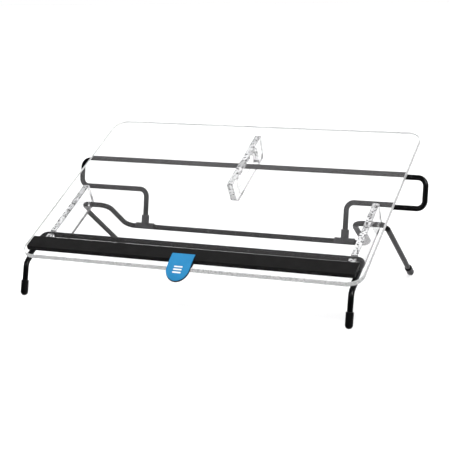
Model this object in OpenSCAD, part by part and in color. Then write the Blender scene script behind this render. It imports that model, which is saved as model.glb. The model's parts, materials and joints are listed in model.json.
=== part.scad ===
// Portable drawing board: a clear sloping board on a folding stand of bent steel rod.
//
// Most parts are drawn in the board's own frame and then tilted into place. In that frame
// X runs to the right, Y runs up the slope from the board's front edge, and Z is the
// board's upward normal, with zero at the middle of its thickness. A place on the slope
// is written [y, z]. The finished part stands on Z = 0, centred on its own footprint.

/* [Board] */
// Width of the clear board
board_w = 520; // [500:5:560]
// Length of the clear board up the slope
board_d = 360; // [350:5:400]
// Thickness of the clear board
board_t = 7; // [5:0.5:8]
// Radius of the board's corners
board_corner_r = 22; // [5:1:40]
// Slope of the board above the table
slope = 26.5; // [24:0.5:30]

/* [Page ledge] */
// Length of the ledge across the board
ledge_w = 500; // [440:2:500]
// Width of the ledge up the slope
ledge_d = 26; // [20:0.5:27]
// Height of the ledge above the board
ledge_h = 7; // [5:0.5:10]
// Bare strip in front of the ledge
ledge_setback = 9.5; // [9:0.5:14]

/* [Thumb tab] */
// Width of the thumb tab
tab_w = 35; // [24:1:50]
// Length of the thumb tab along its curve
tab_len = 45.5; // [40:0.5:46]
// Radius that the tab curves down to
tab_curve_r = 120; // [76:1:130]
// Thickness of the coloured face
tab_face_t = 1.2; // [0.8:0.1:1.6]
// Thickness of the tongue under the face
tab_tongue_t = 1.6; // [1.6:0.1:2.4]

/* [Stand rods] */
// Diameter of every stand rod
rod_dia = 8; // [6:0.5:8]
// Running clearance around a rod in its bore
rod_play = 0.06; // [0.03:0.01:0.1]
// Distance between the two front legs
front_span = 495; // [493:1:500]
// Distance between the two rear legs
rear_span = 497; // [495:1:502]
// Distance between the two prop legs
prop_span = 334; // [320:2:346]
// Distance between the prop's two side loops
loop_span = 570; // [564:2:600]

/* [Stand lengths] */
// Front leg, from its bend to the table
front_leg = 48.5; // [46:0.5:54]
// Rear crank, from the shoulders to the middle section
crank_len = 76; // [72:1:80]
// Prop, from the rear rod to its lower arms
prop_arm = 59.5; // [56:0.5:64]
// Prop, from the rear rod to its top bar
prop_len = 105; // [103:0.5:108]

/* [Brackets] */
// Thickness of the side plates and of the notch rack
bracket_t = 10; // [8:0.5:10]
// Distance between the centres of the side plates
plate_span = 468; // [460:0.5:468]
// Spacing of the notches in the rack
notch_pitch = 18; // [17:0.5:18]

/* [Feet and clips] */
// Outside diameter of the rubber foot caps
cap_dia = 11; // [10:0.5:13]
// Length of the rubber foot caps
cap_len = 22.5; // [18:0.5:26]
// Outside diameter of the prop clips
clip_dia = 12; // [11:0.5:14]
// Length of a clip's saddle along the rear rod
saddle_len = 31; // [24:1:34]
// Height of a clip's socket around the prop leg
socket_len = 13; // [10:0.5:18]

/* [Hidden] */
$fn = 48;

rod_r = rod_dia / 2;
bore_r = rod_r + rod_play;
half_t = board_t / 2;
top = half_t;
under = -half_t;

// A bend comes out a hair thinner than the straights, which lap a little over its ends.
bend_draw = 0.005;
bend_lap = 0.05;

// Height above the table and distance back from the front edge of a place on the slope,
// both counted from the board frame's own origin
function rise(p) = sin(slope) * p.x + cos(slope) * p.y;
function back(p) = cos(slope) * p.x - sin(slope) * p.y;

// Front rod: its rail lies against the underside of the board and is the legs' hinge.
rail_gap = 0.1;
rail = [58, under - rail_gap - rod_r];
front_knee = [-4.7, rail.y];
front_lean = 38.5;
front_dir = [-sin(front_lean), -cos(front_lean)];
front_foot = front_knee + front_leg * front_dir;
front_corner_r = 8.3;
front_knee_r = 16;

// Height of the board frame's origin above the table
board_z = -rise(front_foot);

// Rear rod: two shoulders turn in the side plates. The legs and the cranks share one plane.
shoulder = [169.4, under - 29.7];
rear_lean = 29.2;
rear_dir = [sin(rear_lean), -cos(rear_lean)];
rear_leg = -(board_z + rise(shoulder)) / rise(rear_dir);
rear_foot = shoulder + rear_leg * rear_dir;
hinge = shoulder + crank_len * rear_dir;
crank_span = 398;
rear_corner_r = 9.3;
crank_bend_r = 15;

// Prop: a flat wire frame that stands on the rear rod and carries the notch rack.
prop_lean = 35.5;
prop_dir = [sin(prop_lean), cos(prop_lean)];
prop_bend_r = 12;
prop_start = 5.5;
bar = hinge + prop_len * prop_dir;

// Prop clips: the mouth opens this far either side of straight down, and the saddle snaps on.
clip_mouth = 62;
mouth_reach = 2 * clip_dia;

// Foot caps: a round end, cut flat where it meets the table. A rod ends at its cap's centre.
cap_r = cap_dia / 2;
cap_flat = 0.6;
function cap_centre(foot, dir) = foot + (cap_r - cap_flat) / rise(dir) * dir;

// Side plates
plate_front_y = 46;
plate_rear_y = 179.5;
plate_skin = 2.2;
plate_low_z = shoulder.y - bore_r - plate_skin;
plate_toe = [32, -11.5];

// Notch rack: the bar passes under the teeth on its way from notch to notch.
rack_front_y = 202;
rack_rear_y = 336;
rack_low_z = -40;
rack_corner = 6;
rack_slant = 3.5;
notch_count = 5;
notch_play = 0.3;
notch_r = rod_r + notch_play;
notch_roof_z = under - 1.5;
tooth_gap = 1.6;
window_top_z = bar.y + rod_r + tooth_gap;
window_low_z = -35.5;
window_run = 4;
window_reach = (notch_count - 1) / 2 * notch_pitch + notch_r + window_run;
window_corner_r = 3;

ledge_corner_r = 2;

// Thumb tab: a strip bent round an axis under the ledge, with a half-round nose. A tongue
// carries the coloured face, and both lie in a pocket in the ledge.
tab_top = [21.2, top + ledge_h + tab_face_t];
tab_start = 5;
tab_sweep = tab_len / tab_curve_r * 180 / PI;
tab_axis = tab_top - tab_curve_r * [-sin(tab_start), cos(tab_start)];
tab_nose = tab_axis + tab_curve_r * [-sin(tab_start + tab_sweep), cos(tab_start + tab_sweep)];
tab_depth = tab_face_t + tab_tongue_t;
tab_rim = 0.4;
pocket_gap = 0.2;
web_front_y = 2;
grip_y = tab_nose.x + tab_w / 2 - 2;
grip_count = 3;
grip_len = 13;
grip_w = 2.2;
grip_pitch = 4.4;
grip_h = 0.3;

// Place along Y that centres the part between the tab or front feet and the board's rear edge
front_reach = min(back(tab_nose), back(cap_centre(front_foot, front_dir)) - cap_r);
rear_reach = back([board_d, under]);
board_y = -(front_reach + rear_reach) / 2;

// A place on the slope, at x across it
function at(x, p) = [x, p.x, p.y];

// Puts things drawn in the board's frame into place above the table
module on_slope() {
    translate([0, board_y, board_z])
    rotate([slope, 0, 0])
    children();
}

// Lays an outline drawn as [y, z] upright at x and makes it t thick
module upright(x, t) {
    translate([x - t / 2, 0, 0])
    rotate([90, 0, 90])
    linear_extrude(t)
    children();
}

// A part turn of rod that starts along +Z and bends towards +X
module bend(r, angle) {
    translate([r, 0, 0])
    rotate([90, 0, 180])
    rotate_extrude(angle = angle)
    translate([r, 0])
    circle(r = rod_r - bend_draw);
}

// A bent rod that starts along +Z. spans are the distances between its corners, and each
// bend is [roll about the rod, angle, radius]; a span is shortened by the bends at its ends.
function setback(bends, i) = (i < 0 || i >= len(bends)) ? 0 : bends[i][2] * tan(bends[i][1] / 2);
function straight(spans, bends, i) = spans[i] - setback(bends, i - 1) - setback(bends, i);

module bent_rod(spans, bends, i = 0) {
    h = straight(spans, bends, i);
    before = i > 0 ? bend_lap : 0;
    after = i < len(bends) ? bend_lap : 0;
    union() {
        translate([0, 0, -before]) cylinder(r = rod_r, h = before + h + after);
        if (i < len(bends)) {
            angle = bends[i][1];
            r = bends[i][2];
            translate([0, 0, h])
            rotate([0, 0, bends[i][0]])
            union() {
                bend(r, angle);
                translate([r * (1 - cos(angle)), 0, r * sin(angle)])
                rotate([0, angle, 0])
                bent_rod(spans, bends, i + 1);
            }
        }
    }
}

// A rectangle centred on X that starts at Y = 0, with round corners
module rounded_outline(w, d, r) {
    inner = w / 2 - r;
    union() {
        translate([-w / 2, r]) square([w, d - 2 * r]);
        translate([-inner, 0]) square([2 * inner, d]);
        for (x = [-inner, inner], y = [r, d - r]) translate([x, y]) circle(r = r);
    }
}

module board_panel() {
    color([0.86, 0.89, 0.9, 0.35])
    on_slope()
    translate([0, 0, under])
    linear_extrude(board_t)
    rounded_outline(board_w, board_d, board_corner_r);
}

module side_plate(side) {
    color([0.84, 0.86, 0.87, 0.4])
    on_slope()
    upright(side * plate_span / 2, bracket_t)
    difference() {
        polygon([[plate_front_y, under], [plate_front_y, under + plate_toe.y],
                 [plate_front_y + plate_toe.x, plate_low_z], [plate_rear_y, plate_low_z],
                 [plate_rear_y, under]]);
        translate(shoulder) circle(r = bore_r);
        translate(rail) circle(r = bore_r);
        translate([rail.x - bore_r, rail.y]) square([2 * bore_r, rod_dia]);
    }
}
module side_plate_left() { side_plate(-1); }
module side_plate_right() { side_plate(1); }

module rack_window() {
    r = window_corner_r;
    union() {
        translate([bar.x - window_reach, window_low_z + r])
        square([2 * window_reach, window_top_z - window_low_z - r]);
        translate([bar.x - window_reach + r, window_low_z])
        square([2 * window_reach - 2 * r, 2 * r]);
        for (side = [-1, 1]) {
            translate([bar.x + side * (window_reach - r), window_low_z + r]) circle(r = r);
        }
        for (k = [0:notch_count - 1]) {
            translate([bar.x + (k - (notch_count - 1) / 2) * notch_pitch, notch_roof_z - notch_r])
            circle(r = notch_r);
        }
    }
}

module notch_rack() {
    color([0.84, 0.86, 0.87, 0.4])
    on_slope()
    upright(0, bracket_t)
    difference() {
        polygon([[rack_front_y, under], [rack_front_y + rack_slant, rack_low_z + rack_corner],
                 [rack_front_y + rack_slant + rack_corner, rack_low_z],
                 [rack_rear_y - rack_slant - rack_corner, rack_low_z],
                 [rack_rear_y - rack_slant, rack_low_z + rack_corner], [rack_rear_y, under]]);
        rack_window();
    }
}

// A cylinder along X around the axis that the thumb tab is bent round
module tab_drum(r) {
    translate([-tab_w, tab_axis.x, tab_axis.y])
    rotate([90, 0, 90])
    cylinder(r = r, h = 2 * tab_w, $fn = 240);
}

// Everything inside the tab's outline seen square to the board, grown by g all round
module tab_prism(g) {
    nose_r = tab_w / 2;
    nose_y = tab_nose.x + nose_r;
    translate([0, 0, -tab_w])
    linear_extrude(2 * tab_w)
    union() {
        translate([-nose_r - g, nose_y]) square([tab_w + 2 * g, tab_top.x - nose_y + g]);
        translate([0, nose_y]) circle(r = nose_r + g);
    }
}

module ledge_bar() {
    color([0.13, 0.13, 0.13])
    on_slope()
    difference() {
        translate([0, ledge_setback, top])
        linear_extrude(ledge_h)
        rounded_outline(ledge_w, ledge_d, ledge_corner_r);
        difference() {
            tab_prism(tab_rim + pocket_gap);
            tab_drum(tab_curve_r - tab_depth);
        }
    }
}

module tab_tongue() {
    color([0.08, 0.08, 0.08])
    on_slope()
    intersection() {
        tab_prism(tab_rim);
        union() {
            difference() {
                tab_drum(tab_curve_r - tab_face_t);
                tab_drum(tab_curve_r - tab_depth);
            }
            intersection() {
                tab_drum(tab_curve_r - tab_face_t - tab_tongue_t / 2);
                translate([-tab_w, web_front_y, top])
                cube([2 * tab_w, ledge_setback - web_front_y, ledge_h]);
            }
        }
    }
}

module tab_face() {
    color([0.22, 0.57, 0.82])
    on_slope()
    intersection() {
        tab_prism(0);
        difference() {
            tab_drum(tab_curve_r);
            tab_drum(tab_curve_r - tab_face_t);
        }
    }
}

module tab_grip_bars() {
    half = (grip_len - grip_w) / 2;
    color([0.95, 0.95, 0.95])
    on_slope()
    intersection() {
        difference() {
            tab_drum(tab_curve_r + grip_h);
            tab_drum(tab_curve_r);
        }
        translate([0, grip_y, -tab_w])
        linear_extrude(2 * tab_w)
        for (k = [0:grip_count - 1]) {
            translate([0, (k - (grip_count - 1) / 2) * grip_pitch])
            union() {
                square([2 * half, grip_w], center = true);
                for (x = [-half, half]) translate([x, 0]) circle(d = grip_w);
            }
        }
    }
}

module front_rod() {
    leg = norm(front_knee - cap_centre(front_foot, front_dir));
    arm = rail.x - front_knee.x;
    knee = 90 - front_lean;
    color([0.08, 0.08, 0.08])
    on_slope()
    translate(at(-front_span / 2, cap_centre(front_foot, front_dir)))
    rotate([-front_lean, 0, 0])
    rotate([0, 0, 90])
    bent_rod([leg, arm, front_span, arm, leg],
             [[0, knee, front_knee_r], [-90, 90, front_corner_r],
              [0, 90, front_corner_r], [90, knee, front_knee_r]]);
}

module rear_rod() {
    leg = norm(shoulder - cap_centre(rear_foot, rear_dir));
    arm = (rear_span - crank_span) / 2;
    r = crank_bend_r;
    color([0.12, 0.12, 0.12])
    on_slope()
    translate(at(-rear_span / 2, cap_centre(rear_foot, rear_dir)))
    rotate([rear_lean, 0, 0])
    bent_rod([leg, arm, crank_len, crank_span, crank_len, arm, leg],
             [[0, 90, rear_corner_r], [0, 90, r], [180, 90, r], [0, 90, r], [180, 90, r],
              [0, 90, rear_corner_r]]);
}

module prop_rod() {
    leg = prop_arm - prop_start;
    arm = (loop_span - prop_span) / 2;
    side = prop_len - prop_arm;
    r = prop_bend_r;
    color([0.1, 0.1, 0.1])
    on_slope()
    translate(at(-prop_span / 2, hinge + prop_start * prop_dir))
    rotate([-prop_lean, 0, 0])
    bent_rod([leg, arm, side, loop_span, side, arm, leg],
             [[180, 90, r], [180, 90, r], [0, 90, r], [0, 90, r], [0, 90, r], [180, 90, r]]);
}

module foot_cap(x, foot, dir) {
    lean = atan2(-dir.x, -dir.y);
    color([0.1, 0.1, 0.1])
    difference() {
        on_slope()
        translate(at(x, cap_centre(foot, dir)))
        rotate([-lean, 0, 0])
        difference() {
            union() {
                sphere(r = cap_r);
                cylinder(r = cap_r, h = cap_len - cap_r);
            }
            cylinder(r = rod_r, h = cap_len);
        }
        translate([x - cap_dia, -board_d, -cap_dia]) cube([2 * cap_dia, 2 * board_d, cap_dia]);
    }
}
module front_foot_left() { foot_cap(-front_span / 2, front_foot, front_dir); }
module front_foot_right() { foot_cap(front_span / 2, front_foot, front_dir); }
module rear_foot_left() { foot_cap(-rear_span / 2, rear_foot, rear_dir); }
module rear_foot_right() { foot_cap(rear_span / 2, rear_foot, rear_dir); }

// A clip that snaps over the rear rod and holds the end of one prop leg in its socket
module prop_clip(side) {
    color([0.14, 0.14, 0.14])
    on_slope()
    translate(at(side * prop_span / 2, hinge))
    rotate([-prop_lean, 0, 0])
    difference() {
        union() {
            rotate([0, 90, 0]) cylinder(r = clip_dia / 2, h = saddle_len, center = true);
            cylinder(r = clip_dia / 2, h = prop_start + socket_len);
        }
        rotate([0, 90, 0]) cylinder(r = bore_r, h = saddle_len + 2, center = true);
        translate([0, 0, prop_start]) cylinder(r = rod_r, h = socket_len + 1);
        upright(0, saddle_len + 2)
        polygon([[0, 0], mouth_reach * [-sin(clip_mouth), -cos(clip_mouth)],
                 mouth_reach * [sin(clip_mouth), -cos(clip_mouth)]]);
    }
}
module prop_clip_left() { prop_clip(-1); }
module prop_clip_right() { prop_clip(1); }

board_panel();
side_plate_left();
side_plate_right();
notch_rack();
ledge_bar();
tab_tongue();
tab_face();
tab_grip_bars();
front_rod();
front_foot_left();
front_foot_right();
rear_rod();
rear_foot_left();
rear_foot_right();
prop_rod();
prop_clip_left();
prop_clip_right();
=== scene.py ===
import json
from math import cos, pi, radians, sin

import bmesh
import bpy
from mathutils import Matrix, Vector


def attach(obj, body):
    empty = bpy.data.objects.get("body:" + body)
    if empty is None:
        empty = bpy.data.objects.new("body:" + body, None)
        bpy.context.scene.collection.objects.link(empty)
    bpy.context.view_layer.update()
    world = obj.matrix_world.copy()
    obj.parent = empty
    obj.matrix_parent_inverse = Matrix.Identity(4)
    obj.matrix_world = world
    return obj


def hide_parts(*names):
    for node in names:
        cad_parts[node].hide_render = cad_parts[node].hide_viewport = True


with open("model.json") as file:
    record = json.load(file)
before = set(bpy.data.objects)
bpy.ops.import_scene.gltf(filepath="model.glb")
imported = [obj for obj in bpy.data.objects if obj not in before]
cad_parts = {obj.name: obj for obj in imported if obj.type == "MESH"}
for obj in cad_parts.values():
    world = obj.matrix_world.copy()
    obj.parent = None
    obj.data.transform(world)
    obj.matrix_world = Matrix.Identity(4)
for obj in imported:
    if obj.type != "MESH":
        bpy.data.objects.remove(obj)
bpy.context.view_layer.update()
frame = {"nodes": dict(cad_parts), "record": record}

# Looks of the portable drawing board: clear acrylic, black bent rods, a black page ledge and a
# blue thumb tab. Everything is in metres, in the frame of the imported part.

MM = 0.001
TOUCH = 0.02 * MM
LIGHT_BOUNCES = 32
scene = bpy.context.scene

# ---------------------------------------------------------------- the board's own frame
mounts = {mount["name"]: mount for mount in frame["record"]["mounts"]}
surface = mounts["work_surface"]
board_normal = Vector(surface["axis"]).normalized()
across = Vector((1, 0, 0))
up_slope = board_normal.cross(across)
on_board = Matrix((across, up_slope, board_normal)).transposed().to_4x4()
on_board.translation = Vector(surface["pos_m"])
to_board = on_board.inverted()


def board_extent(node):
    """Lowest and highest corner of a CAD node, measured along the board."""
    points = [to_board @ v.co for v in frame["nodes"][node].data.vertices]
    low = Vector([min(p[i] for p in points) for i in range(3)])
    high = Vector([max(p[i] for p in points) for i in range(3)])
    return low, high


# ---------------------------------------------------------------- materials
def new_material(name, **sockets):
    """A material with one Principled shader, and its node tree, ready for detail."""
    material = bpy.data.materials.new(name)
    material.use_nodes = True
    shader = material.node_tree.nodes["Principled BSDF"]
    for socket, value in sockets.items():
        shader.inputs[socket.replace("_", " ")].default_value = value
    return material, material.node_tree, shader


def noise(tree, scale, detail=3.0, roughness=0.5):
    """Noise in the piece's own coordinates, so that it stays on the piece."""
    place = tree.nodes.new("ShaderNodeTexCoord")
    texture = tree.nodes.new("ShaderNodeTexNoise")
    texture.inputs["Scale"].default_value = scale
    texture.inputs["Detail"].default_value = detail
    texture.inputs["Roughness"].default_value = roughness
    tree.links.new(place.outputs["Object"], texture.inputs["Vector"])
    return texture.outputs["Fac"]


def ramp(tree, source, low, high, start=0.3, end=0.7):
    """A smooth change from the number or colour low to high as source rises from start to end."""
    if isinstance(low, (int, float)):
        node = tree.nodes.new("ShaderNodeMapRange")
        node.inputs["From Min"].default_value = start
        node.inputs["From Max"].default_value = end
        node.inputs["To Min"].default_value = low
        node.inputs["To Max"].default_value = high
        tree.links.new(source, node.inputs["Value"])
        return node.outputs["Result"]
    node = tree.nodes.new("ShaderNodeValToRGB")
    first, last = node.color_ramp.elements
    first.position, first.color = start, (*low, 1)
    last.position, last.color = end, (*high, 1)
    tree.links.new(source, node.inputs["Fac"])
    return node.outputs["Color"]


def bump(tree, shader, height, distance):
    """Relief of the given depth."""
    node = tree.nodes.new("ShaderNodeBump")
    node.inputs["Distance"].default_value = distance
    tree.links.new(height, node.inputs["Height"])
    tree.links.new(node.outputs["Normal"], shader.inputs["Normal"])


def clear_acrylic(name, tint, wave_depth, wave_scale=14.0):
    """Faces as cast: clear, and very slightly wavy."""
    material, tree, shader = new_material(
        name, Base_Color=(*tint, 1), Transmission_Weight=1.0, IOR=1.49, Roughness=0.0)
    bump(tree, shader, noise(tree, wave_scale, detail=1.0), wave_depth)
    return material


def acrylic_edge(name, tint, clarity, smooth, rough, painted_glints=None):
    """Sawn and polished edges, a little hazy, which pick up grey from inside the sheet. A second
    tint paints dark glints in random flecks: a painted reflection that stands in for the
    refraction inside a bracket."""
    material, tree, shader = new_material(
        name, Base_Color=(*tint, 1), Transmission_Weight=clarity, IOR=1.49)
    grain = noise(tree, scale=500.0)
    tree.links.new(ramp(tree, grain, smooth, rough), shader.inputs["Roughness"])
    bump(tree, shader, grain, distance=0.02 * MM)
    if painted_glints:
        # Painted dark glints: a noise lays the second tint on in random flecks.
        glint_noise = noise(tree, scale=340.0)
        painted_glint_tint = ramp(tree, glint_noise, tint, painted_glints, start=0.53, end=0.58)
        tree.links.new(painted_glint_tint, shader.inputs["Base Color"])
    return material


def powder_coat(dark, light, smooth, rough):
    """Satin powder coat, with its orange peel and a slow change of tone and gloss."""
    material, tree, shader = new_material("powder_coat", Specular_IOR_Level=0.3)
    peel = noise(tree, scale=900.0, detail=2.0)
    broad = noise(tree, scale=45.0, detail=4.0)
    tree.links.new(ramp(tree, broad, dark, light), shader.inputs["Base Color"])
    tree.links.new(ramp(tree, broad, smooth, rough), shader.inputs["Roughness"])
    bump(tree, shader, peel, distance=0.04 * MM)
    return material


def moulded(name, dark, light, smooth, rough, grain_scale, grain_depth, specular=0.15):
    """Moulded plastic or rubber: a broad change of tone and a fine grain."""
    material, tree, shader = new_material(name, Specular_IOR_Level=specular)
    broad = noise(tree, scale=60.0, detail=4.0)
    grain = noise(tree, grain_scale, roughness=0.6)
    tree.links.new(ramp(tree, broad, dark, light), shader.inputs["Base Color"])
    tree.links.new(ramp(tree, grain, smooth, rough), shader.inputs["Roughness"])
    bump(tree, shader, grain, grain_depth)
    return material


board_clear = clear_acrylic("board_acrylic", (0.985, 0.99, 0.99), wave_depth=0.01 * MM)
bracket_clear = clear_acrylic("bracket_acrylic", (0.97, 0.975, 0.975), wave_depth=0.03 * MM)
sheet_edge = acrylic_edge(
    "sheet_edge", (0.69, 0.695, 0.695), clarity=0.2, smooth=0.2, rough=0.35)
bracket_edge = acrylic_edge(
    "bracket_edge", (0.96, 0.965, 0.965), clarity=0.96, smooth=0.02, rough=0.08)
# Painted shade: the rounded rims of the clear brackets are tinted dark.
painted_rim_shade = acrylic_edge(
    "painted_rim_shade", (0.14, 0.14, 0.145), clarity=0.5, smooth=0.15, rough=0.3)
# The glued face and the two ends: a real haze, with painted dark glints in random flecks.
haze_with_painted_glints = acrylic_edge(
    "haze_with_painted_glints", (0.72, 0.72, 0.725), clarity=0.52, smooth=0.04, rough=0.16,
    painted_glints=(0.01, 0.01, 0.011))
# Painted shade: the faces round the notches are tinted nearly black.
painted_notch_shade = acrylic_edge(
    "painted_notch_shade", (0.015, 0.015, 0.016), clarity=0.2, smooth=0.15, rough=0.3)
rod_coat = powder_coat(
    (0.0004, 0.0004, 0.0005), (0.0009, 0.0009, 0.001), smooth=0.2, rough=0.28)
ledge_black = moulded(
    "ledge_plastic", (0.0055, 0.0055, 0.0055), (0.009, 0.009, 0.009), smooth=0.5, rough=0.68,
    grain_scale=2600.0, grain_depth=0.05 * MM)
tongue_black = moulded(
    "tongue_plastic", (0.006, 0.006, 0.006), (0.01, 0.01, 0.01), smooth=0.5, rough=0.65,
    grain_scale=2200.0, grain_depth=0.04 * MM)
tab_blue = moulded(
    "tab_plastic", (0.014, 0.216, 0.465), (0.02, 0.245, 0.513), smooth=0.34, rough=0.46,
    grain_scale=1800.0, grain_depth=0.02 * MM, specular=0.25)
grip_white = moulded(
    "grip_ink", (0.82, 0.84, 0.86), (0.9, 0.91, 0.92), smooth=0.5, rough=0.6,
    grain_scale=3000.0, grain_depth=0.02 * MM)
cap_rubber = moulded(
    "cap_rubber", (0.0006, 0.0006, 0.0007), (0.0014, 0.0014, 0.0016), smooth=0.28, rough=0.4,
    grain_scale=1500.0, grain_depth=0.06 * MM, specular=0.3)
clip_plastic = moulded(
    "clip_plastic", (0.018, 0.018, 0.019), (0.028, 0.028, 0.03), smooth=0.42, rough=0.58,
    grain_scale=1800.0, grain_depth=0.03 * MM)


# ---------------------------------------------------------------- pieces
def add_piece(name, bm, materials, body, node):
    """Makes the mesh a piece that rides a body and stands for a CAD node."""
    mesh = bpy.data.meshes.new(name)
    bm.to_mesh(mesh)
    bm.free()
    for material in materials:
        mesh.materials.append(material)
    mesh.polygons.foreach_set("use_smooth", [True] * len(mesh.polygons))
    piece = bpy.data.objects.new(name, mesh)
    scene.collection.objects.link(piece)
    weigh = piece.modifiers.new("even_normals", "WEIGHTED_NORMAL")
    weigh.keep_sharp = True
    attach(piece, body)
    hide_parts(node)
    return piece


def soften(node, radius, segments=3, corner=30, flat=0.4, weld=0.002 * MM):
    """The CAD node's own shape with its sharp edges rounded. Edges that turn by more than corner
    degrees are sharp, and faces that turn by less than flat degrees are joined first."""
    bm = bmesh.new()
    bm.from_mesh(frame["nodes"][node].data)
    bmesh.ops.remove_doubles(bm, verts=bm.verts, dist=weld)
    bmesh.ops.dissolve_limit(bm, angle_limit=radians(flat), verts=bm.verts, edges=bm.edges)
    sharp = [e for e in bm.edges if e.is_manifold and e.calc_face_angle() > radians(corner)]
    bmesh.ops.bevel(bm, geom=sharp, offset=radius, segments=segments, profile=0.5,
                    affect="EDGES", clamp_overlap=True)
    return bm


def soft_piece(name, node, material, body, radius):
    """A piece of one material with its CAD node's shape and rounded edges."""
    return add_piece(name, soften(node, radius), [material], body, node)


def page_ledge(radius=0.8 * MM, draft=0.5 * MM):
    """The page ledge. Its rear face leans forward a little, as a moulded face does."""
    low, high = board_extent("ledge_bar")
    bm = soften("ledge_bar", radius, segments=4)
    for vertex in bm.verts:
        place = to_board @ vertex.co
        if place.y > high.y - radius - TOUCH:
            place.y -= draft * (place.z - low.z) / (high.z - low.z)
            vertex.co = on_board @ place
    return add_piece("page_ledge", bm, [ledge_black], "board", "ledge_bar")


def bracket_finish(face, low, high, near=6 * MM, rim_area=6 * MM * MM):
    """Which of a bracket's finishes a face has. The big side faces are clear. The rounded rims
    are tinted dark, most of all round the notches: painted shade. The glued face and the two ends
    are hazy, with painted dark glints, and the other cut faces are nearly clear."""
    facing = to_board.to_3x3() @ face.normal
    place = to_board @ face.calc_center_median()
    big_side = abs(facing.x) > 0.98
    rim = abs(facing.x) > 0.2 or face.calc_area() < rim_area
    notch = facing.z < -0.1 and place.z > (low.z + high.z) / 2
    glued = place.z > high.z - TOUCH
    end = abs(facing.y) > 0.9 and not low.y + near <= place.y <= high.y - near
    if big_side:
        return bracket_clear
    # Painted shade: rims are dark, and the faces round the notches are darker still.
    if rim:
        return painted_notch_shade if notch else painted_rim_shade
    return haze_with_painted_glints if glued or end else bracket_edge


def bracket(name, node, radius, sink=0.5 * MM):
    """A clear bracket, with its glued face sunk a little way into the board."""
    finishes = [bracket_clear, bracket_edge, painted_rim_shade, haze_with_painted_glints, painted_notch_shade]
    low, high = board_extent(node)
    bm = soften(node, radius)
    for face in bm.faces:
        face.material_index = finishes.index(bracket_finish(face, low, high))
    for vertex in bm.verts:
        if abs((to_board @ vertex.co).z - high.z) < TOUCH:
            vertex.co += sink * board_normal
    return add_piece(name, bm, finishes, "board", node)


def slab_ring(bm, low, high, corner_r, inset, height, steps=16):
    """One outline of a rounded slab, drawn in by inset at the given height."""
    r = corner_r - inset
    left, right = low.x + corner_r, high.x - corner_r
    front, rear = low.y + corner_r, high.y - corner_r
    corners = [(right, rear, 0), (left, rear, 90), (left, front, 180), (right, front, 270)]
    ring = []
    for x, y, start in corners:
        for k in range(steps + 1):
            a = radians(start + 90 * k / steps)
            ring.append(bm.verts.new((x + r * cos(a), y + r * sin(a), height)))
    return ring


def board_sheet(corner_r=22 * MM, edge_r=0.7 * MM, edge_steps=4):
    """The clear sheet with round corners and polished, slightly rounded edges."""
    low, high = board_extent("board_panel")
    bm = bmesh.new()
    turns = [pi / 2 * k / edge_steps for k in range(edge_steps + 1)]
    lower = [(edge_r * (1 - sin(a)), low.z + edge_r * (1 - cos(a))) for a in turns]
    upper = [(edge_r * (1 - sin(a)), high.z - edge_r * (1 - cos(a))) for a in reversed(turns)]
    rings = [slab_ring(bm, low, high, corner_r, inset, z) for inset, z in lower + upper]
    bm.faces.new(list(reversed(rings[0])))
    bm.faces.new(rings[-1])
    n = len(rings[0])
    for below, above in zip(rings, rings[1:]):
        for k in range(n):
            side = bm.faces.new((below[k], below[(k + 1) % n], above[(k + 1) % n], above[k]))
            side.material_index = 1
    bm.transform(on_board)
    return add_piece("clear_board", bm, [board_clear, sheet_edge], "board", "board_panel")


board_sheet()
bracket("left_bracket", "side_plate_left", 0.4 * MM)
bracket("right_bracket", "side_plate_right", 0.4 * MM)
bracket("toothed_bracket", "notch_rack", 0.75 * MM)
page_ledge()
soft_piece("tab_underside", "tab_tongue", tongue_black, "board", 0.4 * MM)
soft_piece("tab_cover", "tab_face", tab_blue, "board", 0.45 * MM)
soft_piece("tab_grip", "tab_grip_bars", grip_white, "board", 0.1 * MM)
for end in ("front", "rear"):
    for side in ("left", "right"):
        soft_piece(f"{end}_cap_{side}", f"{end}_foot_{side}", cap_rubber, f"{end}_frame",
                   0.35 * MM)
for side in ("left", "right"):
    soft_piece(f"clip_{side}", f"prop_clip_{side}", clip_plastic, "prop", 0.5 * MM)

for node in ("front_rod", "rear_rod", "prop_rod"):
    for slot in frame["nodes"][node].material_slots:
        slot.material = rod_coat


# ---------------------------------------------------------------- floor, light and camera
def studio_object(name, bm, material):
    """An object of the studio, which isn't mirrored in the part."""
    mesh = bpy.data.meshes.new(name)
    bm.to_mesh(mesh)
    bm.free()
    mesh.materials.append(material)
    studio_piece = bpy.data.objects.new(name, mesh)
    scene.collection.objects.link(studio_piece)
    studio_piece.visible_glossy = False
    return studio_piece


def add_floor(size=400.0):
    """Plain white paper."""
    paper, *_ = new_material("floor_paper", Base_Color=(0.96, 0.96, 0.96, 1), Roughness=0.9,
                             Specular_IOR_Level=0.1)
    bm = bmesh.new()
    bmesh.ops.create_grid(bm, x_segments=1, y_segments=1, size=size / 2)
    floor = studio_object("floor", bm, paper)


def add_backdrop(radius=22.0, height=30.0):
    """A white wall at the horizon. Only the camera sees it."""
    white, *_ = new_material("backdrop", Base_Color=(0, 0, 0, 1), Emission_Strength=1.0,
                             Emission_Color=(1, 1, 1, 1))
    bm = bmesh.new()
    bmesh.ops.create_cone(bm, segments=48, radius1=radius, radius2=radius, depth=height)
    wall = studio_object("backdrop", bm, white)
    wall.visible_diffuse = wall.visible_transmission = wall.visible_shadow = False


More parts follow.
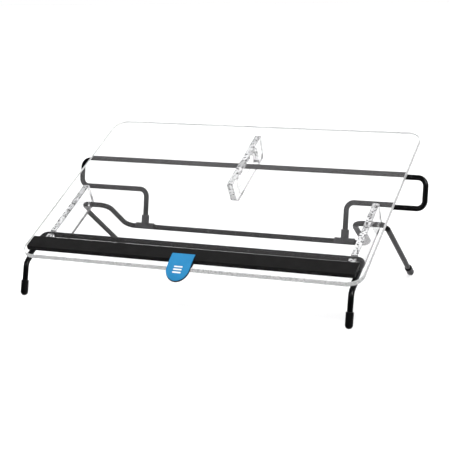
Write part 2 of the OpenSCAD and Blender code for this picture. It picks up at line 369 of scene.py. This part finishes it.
def add_softbox(name, place, aim, width, height, watts):
    """A panel that is only seen mirrored, as a soft streak along the rods and caps."""
    lamp = bpy.data.lights.new(name, "AREA")
    lamp.shape = "RECTANGLE"
    lamp.size, lamp.size_y, lamp.energy = width, height, watts
    lamp.use_shadow = False
    box = bpy.data.objects.new(name, lamp)
    box.location = place
    box.rotation_euler = (Vector(aim) - Vector(place)).to_track_quat("-Z", "Y").to_euler()
    box.visible_diffuse = box.visible_transmission = box.visible_camera = False
    scene.collection.objects.link(box)


def sky_glow(tree, place, side, start, end, dark, bright):
    """Brightness that rises from dark to bright as a direction in the sky turns towards side."""
    facing = tree.nodes.new("ShaderNodeVectorMath")
    facing.operation = "DOT_PRODUCT"
    facing.inputs[1].default_value = Vector(side).normalized()
    tree.links.new(place.outputs["Generated"], facing.inputs[0])
    return ramp(tree, facing.outputs["Value"], dark, bright, start, end)


def add_world():
    """A dark studio with a bright wall behind the board and a dim glow from below right."""
    world = bpy.data.worlds.new("studio")
    world.use_nodes = True
    tree = world.node_tree
    place = tree.nodes.new("ShaderNodeTexCoord")
    behind = sky_glow(tree, place, (-0.04, 1, 0), start=0.352, end=0.47, dark=0.06, bright=0.9)
    below = sky_glow(tree, place, (0.55, 0.1, -0.83), start=0.35, end=0.8, dark=0.0, bright=0.3)
    brighter = tree.nodes.new("ShaderNodeMath")
    brighter.operation = "MAXIMUM"
    tree.links.new(behind, brighter.inputs[0])
    tree.links.new(below, brighter.inputs[1])
    tree.links.new(brighter.outputs["Value"], tree.nodes["Background"].inputs["Strength"])
    tree.nodes["Background"].inputs["Color"].default_value = (1, 0.98, 1, 1)
    scene.world = world


def add_sun(strength, spread, place):
    """Even, shadowless light from high up. It lights surfaces, and isn't mirrored in them."""
    lamp = bpy.data.lights.new("overhead", "SUN")
    lamp.energy, lamp.angle, lamp.use_shadow = strength, radians(spread), False
    sun = bpy.data.objects.new("overhead", lamp)
    sun.rotation_euler = (-Vector(place)).to_track_quat("-Z", "Y").to_euler()
    sun.visible_glossy = sun.visible_transmission = False
    scene.collection.objects.link(sun)


def add_camera(azimuth=22.84, elevation=11.34, roll=-0.5, distance=1.69, lens=97.45,
               aim=(0.0532, -0.1163, 0.1165)):
    """A long lens, low in front of the board and to its right."""
    data = bpy.data.cameras.new("camera")
    data.sensor_width = 36
    data.lens = lens
    camera = bpy.data.objects.new("camera", data)
    turn = Matrix.Rotation(radians(azimuth), 4, "Z")
    turn = turn @ Matrix.Rotation(radians(90 - elevation), 4, "X")
    turn = turn @ Matrix.Rotation(radians(roll), 4, "Z")
    camera.matrix_world = Matrix.Translation(aim) @ turn @ Matrix.Translation((0, 0, distance))
    scene.collection.objects.link(camera)
    scene.camera = camera


add_floor()
add_backdrop()
add_world()
add_sun(strength=3.75, spread=60, place=(-0.15, -0.1, 1))
add_softbox("low_box", (-0.6, -1.45, 0.85), aim=(0, 0, 0.1), width=0.5, height=0.12, watts=3)
add_softbox("tall_box", (1.1, -0.8, 0.9), aim=(0, 0, 0.1), width=0.12, height=0.5, watts=12)
add_camera()
scene.view_settings.view_transform = "Standard"
scene.cycles.max_bounces = LIGHT_BOUNCES
scene.cycles.transmission_bounces = LIGHT_BOUNCES
scene.cycles.glossy_bounces = LIGHT_BOUNCES
